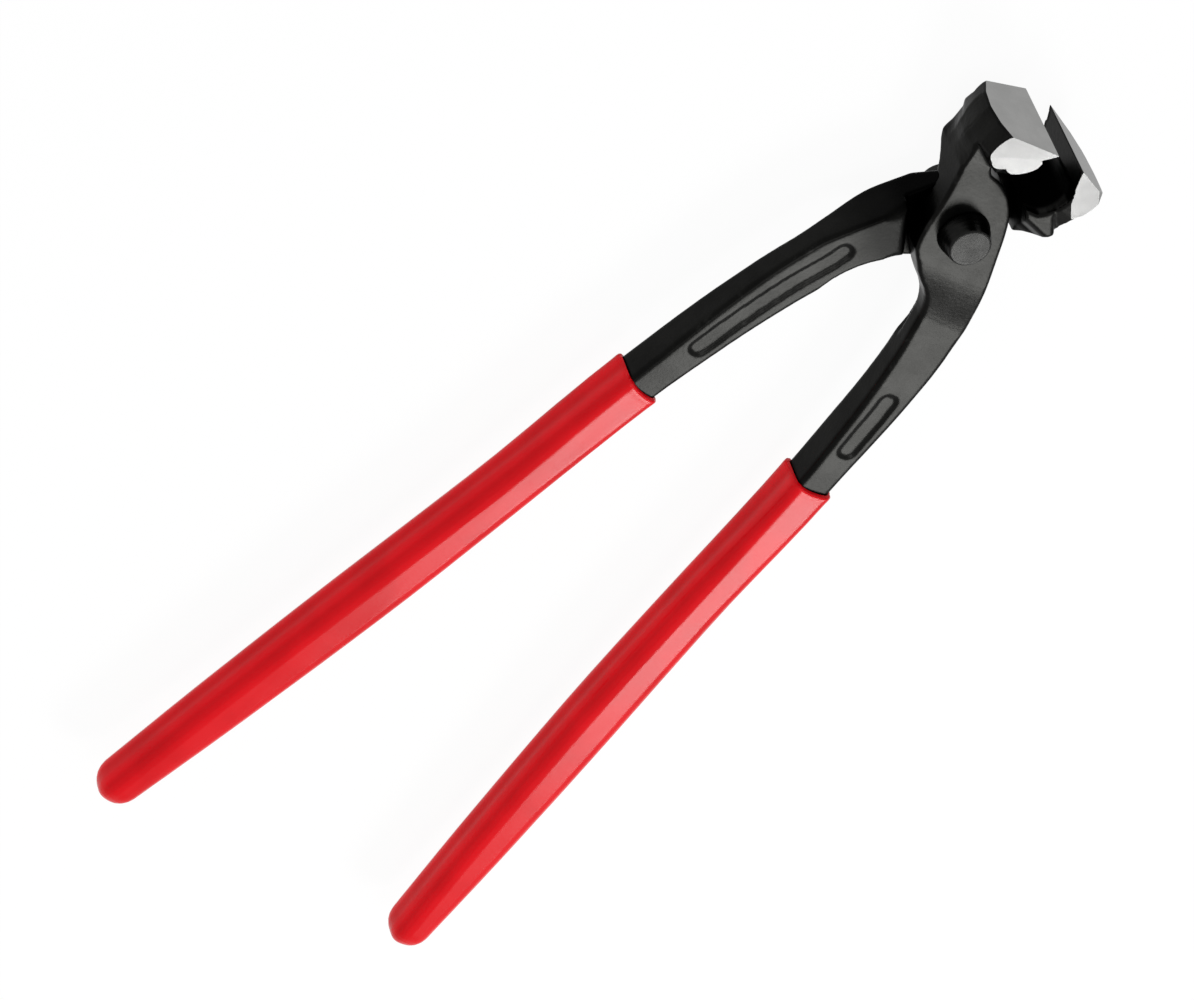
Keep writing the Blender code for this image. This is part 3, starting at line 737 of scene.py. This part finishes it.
def dip(node, side):
    """Coat a handle. Its middle line is a smooth curve of x over y, and across is the way from it."""
    shape = remeshed(to_mesh(merged_copy(node, FRAMES[side].inverted()), "coat"), GRIP_VOXEL, GRIP_PASSES)
    mesh = to_mesh(shape, f"{side} coat")
    places = np.empty(len(mesh.vertices) * 3)
    mesh.vertices.foreach_get("co", places)
    normals = np.empty(len(mesh.vertices) * 3)
    mesh.vertices.foreach_get("normal", normals)
    places, normals = places.reshape(-1, 3), normals.reshape(-1, 3)
    x, y, z = places.T
    line = np.polynomial.Polynomial.fit(y, x, LINE_DEGREE)
    across = x - line(y)
    outwards = np.sign(normals[:, 0] * across + normals[:, 2] * z)
    near_rim = np.exp(-(((y.max() - y - RIM_LENGTH) / RIM_LENGTH) ** 2))
    swell = np.where(outwards > 0, RIM_HEIGHT * near_rim, 0.0)
    tight = np.where(outwards < 0, TIGHTENING * np.exp(-(((y.max() - y) / (2 * RIM_LENGTH)) ** 2)), 0.0)
    groove = GROOVE_DEPTH * np.exp(-((z / GROOVE_WIDTH) ** 2)) * (outwards > 0) * normals[:, 0] ** 2
    groove *= np.clip((y - y.min()) / GROOVE_FADE, 0, 1)
    places += normals * (swell + tight - groove)[:, None]
    middle = np.clip(1 - (across / COAT_HALF[0]) ** 2, 0, 1) * np.clip(np.abs(z) / COAT_HALF[1], 0, 1) ** 2
    fade = np.clip(1 - (y.max() - y) / SAG_FADE, 0, 1) ** 2
    places[:, 1] -= RIM_SAG * middle * fade
    mesh.vertices.foreach_set("co", places.ravel())
    mesh.update()
    mesh.transform(FRAMES[side])
    return mesh


print("size of a grip's quads in mm:", GRIP_VOXEL / MM)

# %% [markdown]
# ## Dipped plastic
#
# The plastic is a deep, even red with a high gloss. On the sides of a grip a painted sheen lightens it in a
# band above and below the middle groove, where soft highlights run. A dip is never quite flat: slow waves
# run over it and draw out the reflections, and a very fine orange peel softens them.

# %% Dipped plastic
def dipped_plastic(name, deep, bright):
    f = finish(name)
    cloud = f.noise(14 * MM, detail=3.0)
    level = f.node("ShaderNodeSeparateXYZ", {}, {0: f.place()})[2] - JOINT_LEVEL
    height = f.node("ShaderNodeMath", {"operation": "ABSOLUTE"}, {0: level})[0]
    # Painted sheen: on the sides of a grip the colour is lighter in a band above and below the middle groove,
    # for soft highlights; the groove and the edges keep the deeper red.
    painted_sheen_band = f.between(height, 0.5 * MM, 2.4 * MM) * f.between(height, 3.0 * MM, 4.2 * MM, 1.0, 0.0)
    waves = f.noise(7 * MM, detail=1.0, scale=(1, 0.25, 1))
    peel = f.noise(0.7 * MM, detail=2.0)
    scuffs = f.between(f.noise(2.2 * MM, detail=6.0, roughness=0.7), 0.62, 0.75)
    colour = f.mix(f.between(cloud, 0.35, 0.65) * 0.4 + painted_sheen_band * 0.6, deep, bright)
    roughness = 0.17 + 0.05 * cloud + 0.10 * scuffs
    relief = f.bump(waves, 0.10 * MM)
    relief = f.bump(peel, 0.006 * MM, relief)
    return f.shade({"Base Color": colour, "Metallic": 0.0, "Roughness": roughness, "IOR": 1.5,
                    "Specular IOR Level": 0.105, "Normal": relief})


# The brighter red is both the random tone of the dip and the painted sheen on its sides.
DEEP_RED, BRIGHT_RED = (0.57, 0.002, 0.006), (0.74, 0.004, 0.010)
for side, body in (("front", "front_half"), ("rear", "rear_half")):
    coat = dip(f"{side}_grip", side)
    coat.materials.clear()
    coat.materials.append(dipped_plastic(f"{side} dipped plastic", DEEP_RED, BRIGHT_RED))
    place(f"{side}_dipped_grip", coat, body, f"{side}_grip", 60)

# %% [markdown]
# ## The studio
#
# The tool lies on a white floor under an even white sky. The floor and the sky show as plain white to the
# camera and in the reflections, and a part of the floor's own shading is kept so that the tool has a soft
# shadow.

# %% Floor and sky
FLOOR_HALF = 3.0
FLOOR_SHADING = 0.06
SKY_LEVEL = 0.68


def shows_background(f):
    path = f.node("ShaderNodeLightPath", {}, {})
    names = [socket.socket.name for socket in path]
    camera, glossy, clear = (path[names.index(n)] for n in ("Is Camera Ray", "Is Glossy Ray",
                                                            "Is Transmission Ray"))
    return (camera + glossy + clear).at_most(1.0)


def white_floor():
    f = finish("white floor")
    f.shade({"Base Color": (0.90, 0.90, 0.90, 1.0), "Roughness": 1.0, "Specular IOR Level": 0.0})
    glow = f.node("ShaderNodeEmission", {}, {"Color": (1.0, 1.0, 1.0, 1.0), "Strength": 1.0})[0]
    shaded = Wire(f, f.tree.nodes["Principled BSDF"].outputs[0])
    mixed = f.node("ShaderNodeMixShader", {}, {0: shows_background(f) * (1 - FLOOR_SHADING), 1: shaded,
                                               2: glow})[0]
    f.feed(f.tree.nodes["Material Output"].inputs["Surface"], mixed)
    return f.owner


shape = bmesh.new()
bmesh.ops.create_grid(shape, x_segments=8, y_segments=8, size=FLOOR_HALF)
floor = workpiece("floor", to_mesh(shape, "floor"))
floor.data.materials.append(white_floor())

world = bpy.data.worlds.new("white sky")
bpy.context.scene.world = world
sky = Finish(world)
sky.feed(sky.tree.nodes["Background"].inputs["Strength"], SKY_LEVEL + (1 - SKY_LEVEL) * shows_background(sky))
sky.tree.nodes["Background"].inputs["Color"].default_value = (1.0, 1.0, 1.0, 1.0)
print("floor and sky are white")

# %% [markdown]
# ## Soft boxes
#
# The main soft box hangs where the flat front faces mirror it, so that they read as grey metal while the
# sides stay dark. The forging is so dark that it takes a bright lamp: its level is many times that of
# white. A weaker one overhead does the same for a look straight down.

# %% Soft boxes
def soft_box(name, direction, distance, size, level):
    """A round area lamp that looks at the joint. Level is its brightness, where 1 is white."""
    lamp = bpy.data.lights.new(name, "AREA")
    lamp.shape = "DISK"
    lamp.size = size
    lamp.energy = level * math.pi * math.pi * size * size / 4
    holder = bpy.data.objects.new(name, lamp)
    bpy.context.scene.collection.objects.link(holder)
    direction = Vector(direction).normalized()
    holder.location = direction * distance + Vector((0, 0, JOINT_LEVEL))
    holder.rotation_euler = (-direction).to_track_quat("-Z", "Y").to_euler()
    holder.visible_camera = False
    return holder


BOX_DISTANCE, BOX_SIZE = 1.4, 0.46
soft_box("main soft box", (0.644, -0.340, 0.694), BOX_DISTANCE, BOX_SIZE, 19.0)
soft_box("upper soft box", (0.0, -0.1, 1.0), BOX_DISTANCE, BOX_SIZE, 5.0)

# %% [markdown]
# ## The camera
#
# The camera stands above the left side of the tool, a long lens away, and looks half down at it. Its
# three axes and its place were fitted to the outlines of the tool in the picture.

# %% Camera
RIGHT = Vector((0.6858, 0.6827, 0.2523))
UP = Vector((-0.3897, 0.6372, -0.6649))
SHIFT = Vector((83.75, -66.95, 1426.23)) * MM
FOCAL_PIXELS = 6088.91
PICTURE_WIDTH = 1194

back = RIGHT.cross(UP).normalized()
up = back.cross(RIGHT).normalized()
right = up.cross(back)
camera_data = bpy.data.cameras.new("camera")
camera_data.sensor_width = 36.0
camera_data.lens = FOCAL_PIXELS / PICTURE_WIDTH * camera_data.sensor_width
camera_data.clip_start = 0.05
camera = bpy.data.objects.new("camera", camera_data)
bpy.context.scene.collection.objects.link(camera)
eye = -(right * SHIFT.x - up * SHIFT.y - back * SHIFT.z)
camera.matrix_world = Matrix.Translation(eye + Vector((0, 0, JOINT_LEVEL))) @ Matrix(
    (right, up, back)).transposed().to_4x4()
bpy.context.scene.camera = camera
bpy.context.scene.view_settings.view_transform = "Standard"
print("camera at", [round(v, 3) for v in camera.location])
